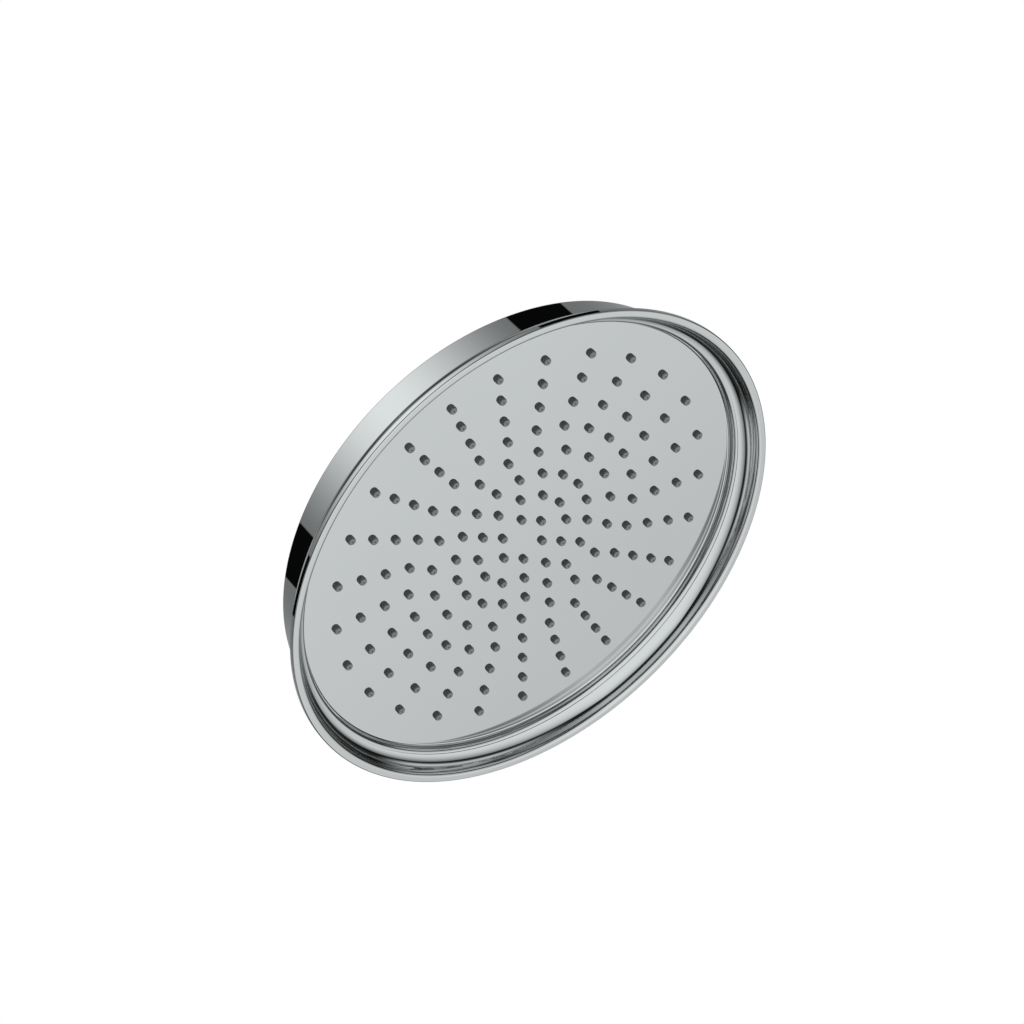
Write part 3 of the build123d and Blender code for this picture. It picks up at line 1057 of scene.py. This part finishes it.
@dataclass
class Studio:
    """Floor, light tent, backdrop and camera.

    The pool's sizes are how far a direction from the middle of the spray face leans to the sides and to
    the front or back for each metre that it falls. Heights and turns are in degrees, and turns are counted
    from the front to either side.
    """

    centre: Vector
    floor_drop: float = 2.1
    tent_radius: float = 5.2
    tent_low: float = -24.0
    pool_across: float = 1.1
    pool_along: float = 2.5
    pool_side: float = 1.33
    pool_slant: float = 0.15
    pool_end: float = 2.75
    side_soft: float = 0.04
    end_soft: float = 0.12
    strip_height: Band = Band((-27.0, -14.0), (-9.0, 0.0))
    strip_turn: Band = Band((35.0, 78.0), (108.0, 128.0))
    strip: float = 0.62
    panel_low: Span = (20.0, 34.0)
    panel_top: Span = (58.0, 80.0)
    panel_side: Span = (0.0, 72.0)
    panel_loss: float = 0.8
    panel_rear: Span = (97.0, 180.0)
    panel_gain: float = 1.6
    gap_turn: Band = Band((67.5, 68.5), (96.5, 97.5))
    gap_top: Span = (48.0, 72.0)
    room_height: Band = Band((-20.0, -6.0), (4.0, 22.0))
    room: float = 0.02
    dim: float = 0.005
    wall_height: Band = Band((-26.0, -17.0), (-4.0, 10.0))
    wall_turn: Span = (154.0, 170.0)
    wall: float = 0.22
    dark: float = 0.003
    cool: Colour = (0.957, 1.0, 0.998)
    least_fall: float = 0.01
    floor_paint: float = 0.8
    floor_glow: float = 0.9
    floor_overlap: float = 1.02
    floor_sides: int = 96
    tent_sides: int = 96
    tent_rings: int = 64
    lens: float = 112.53
    sensor: float = 36.0
    clip_end: float = 50.0
    eye: tuple[float, float, float] = (0.0074, -1.3498, -1.1061)
    right: tuple[float, float, float] = (0.7074, 0.4528, -0.5427)
    up: tuple[float, float, float] = (0.7068, -0.4527, 0.5436)
    ahead: tuple[float, float, float] = (-0.0005, 0.7682, 0.6403)

    def glow(self, sheet: Sheet) -> Wire:
        """Return the light of the studio in each direction from the object's origin.

        A soft pool of light lies on the floor with a dark edge round it. Above that edge each side has a
        dim strip, and a wide panel hangs overhead in front, with a black gap on each side of it. The wall
        behind the head is grey, and the rest of the room is dim.

        Args:
            sheet: the shader that the light is drawn in.

        Returns:
            The colour of the light, 1 for white.
        """
        x, y, z = sheet.axes()
        degree = 180.0 / math.pi
        height = sheet.math("ARCTAN2", z, sheet.math("SQRT", x * x + y * y)) * degree
        turn = sheet.math("ARCTAN2", abs(x), -y) * degree
        fall = sheet.math("MAXIMUM", -z, self.least_fall)
        across = abs(x) / fall
        along = y / fall
        fade_across = across / self.pool_across
        fade_along = along / self.pool_along
        fade = sheet.math("MAXIMUM", fade_across * fade_across, fade_along * fade_along)
        slant = across - along * self.pool_slant
        side = slant.ramp(self.pool_side - self.side_soft, self.pool_side + self.side_soft)
        end = abs(along).ramp(self.pool_end - self.end_soft, self.pool_end + self.end_soft)
        pool = sheet.math("POWER", math.e, -fade) * (1.0 - side) * (1.0 - end)
        strip = self.strip_height.of(height) * self.strip_turn.of(turn) * self.strip
        panel = height.ramp(*self.panel_low) * (1.0 - height.ramp(*self.panel_top) * self.panel_loss)
        panel = panel * (1.0 - turn.ramp(*self.panel_side) * self.panel_loss)
        panel = panel * (1.0 + turn.ramp(*self.panel_rear) * self.panel_gain)
        gap = self.gap_turn.of(turn) * (1.0 - height.ramp(*self.gap_top))
        room = self.room_height.of(height) * self.room + self.dim
        wall = self.wall_height.of(height) * turn.ramp(*self.wall_turn) * self.wall
        bright = pool + strip + wall + (panel + room) * (1.0 - gap) + self.dark
        return sheet.mix(bright, BLACK, self.cool)

    def build_floor(self) -> None:
        """Lay the pale floor, as far below the head as a shower's floor is."""
        radius = self.floor_drop / math.tan(math.radians(-self.tent_low)) * self.floor_overlap
        bpy.ops.object.select_all(action="DESELECT")
        bpy.ops.mesh.primitive_circle_add(vertices=self.floor_sides, radius=radius, fill_type="NGON")
        floor = bpy.context.object
        floor.name = "studio_floor"
        floor.data.transform(Matrix.Translation((0.0, 0.0, -self.floor_drop)))
        floor.location = self.centre
        material = bpy.data.materials.new("pale_floor")
        material.use_nodes = True
        sheet = Sheet(material.node_tree)
        seen = sheet.add("ShaderNodeLightPath")["Is Camera Ray"]
        light = sheet.lamp(sheet.mix(seen, self.glow(sheet), WHITE))
        grey = (self.floor_paint,) * 3 + (1.0,)
        paint = sheet.add("ShaderNodeBsdfDiffuse", None, {"Color": grey})[0]
        share = sheet.math("MAXIMUM", self.floor_glow, seen)
        both = sheet.add("ShaderNodeMixShader", None, {0: share, 1: paint, 2: light})[0]
        sheet.add("ShaderNodeOutputMaterial", None, {"Surface": both})
        floor.data.materials.append(material)

    def build_tent(self) -> None:
        """Hang the light tent: a bowl over the head, open below, that the camera doesn't see."""
        bpy.ops.object.select_all(action="DESELECT")
        bpy.ops.mesh.primitive_uv_sphere_add(segments=self.tent_sides, ring_count=self.tent_rings,
                                             radius=self.tent_radius)
        tent = bpy.context.object
        tent.name = "studio_tent"
        bpy.ops.object.mode_set(mode="EDIT")
        bpy.ops.mesh.select_all(action="SELECT")
        level = self.tent_radius * math.sin(math.radians(self.tent_low))
        bpy.ops.mesh.bisect(plane_co=(0.0, 0.0, level), plane_no=(0.0, 0.0, 1.0), clear_inner=True)
        bpy.ops.object.mode_set(mode="OBJECT")
        tent.location = self.centre
        bpy.ops.object.shade_smooth()
        material = bpy.data.materials.new("tent_cloth")
        material.use_nodes = True
        sheet = Sheet(material.node_tree)
        sheet.add("ShaderNodeOutputMaterial", None, {"Surface": sheet.lamp(self.glow(sheet))})
        tent.data.materials.append(material)
        tent.visible_camera = False

    def build_backdrop(self) -> None:
        """Set the plain white world."""
        world = bpy.data.worlds.new("backdrop")
        world.use_nodes = True
        sheet = Sheet(world.node_tree)
        white = sheet.add("ShaderNodeBackground", None, {"Color": (*WHITE, 1.0), "Strength": 1.0})[0]
        sheet.add("ShaderNodeOutputWorld", None, {"Surface": white})
        bpy.context.scene.world = world

    def build_camera(self) -> None:
        """Stand the camera where the photograph was taken from."""
        camera = bpy.data.cameras.new("camera")
        camera.lens = self.lens
        camera.sensor_width = self.sensor
        camera.clip_end = self.clip_end
        stand = bpy.data.objects.new("camera", camera)
        bpy.context.scene.collection.objects.link(stand)
        columns = [Vector(self.right), Vector(self.up), -Vector(self.ahead)]
        turn = Matrix(columns).transposed().to_4x4()
        stand.matrix_world = Matrix.Translation(self.centre + Vector(self.eye)) @ turn
        bpy.context.scene.camera = stand

    def build(self) -> None:
        """Build the stage and set the plain colour view."""
        self.build_floor()
        self.build_tent()
        self.build_backdrop()
        self.build_camera()
        bpy.context.scene.view_settings.view_transform = "Standard"


def main() -> None:
    """Build the head, the swivel and the studio."""
    logging.basicConfig(level=logging.INFO, format="%(name)s %(message)s")
    lip_drop = SprayHead.cove_centre[1] + SprayHead.lip_round
    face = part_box("rim_ring")[0].z / MM + lip_drop
    ball = frame["joints"][0]["pos_m"][2] / MM
    SprayHead(face).build()
    BackShell(face).build()
    Swivel(ball).build()
    InnerPieces().dress()
    Studio(Vector((0.0, 0.0, face * MM))).build()


if __name__ == "__main__":
    main()
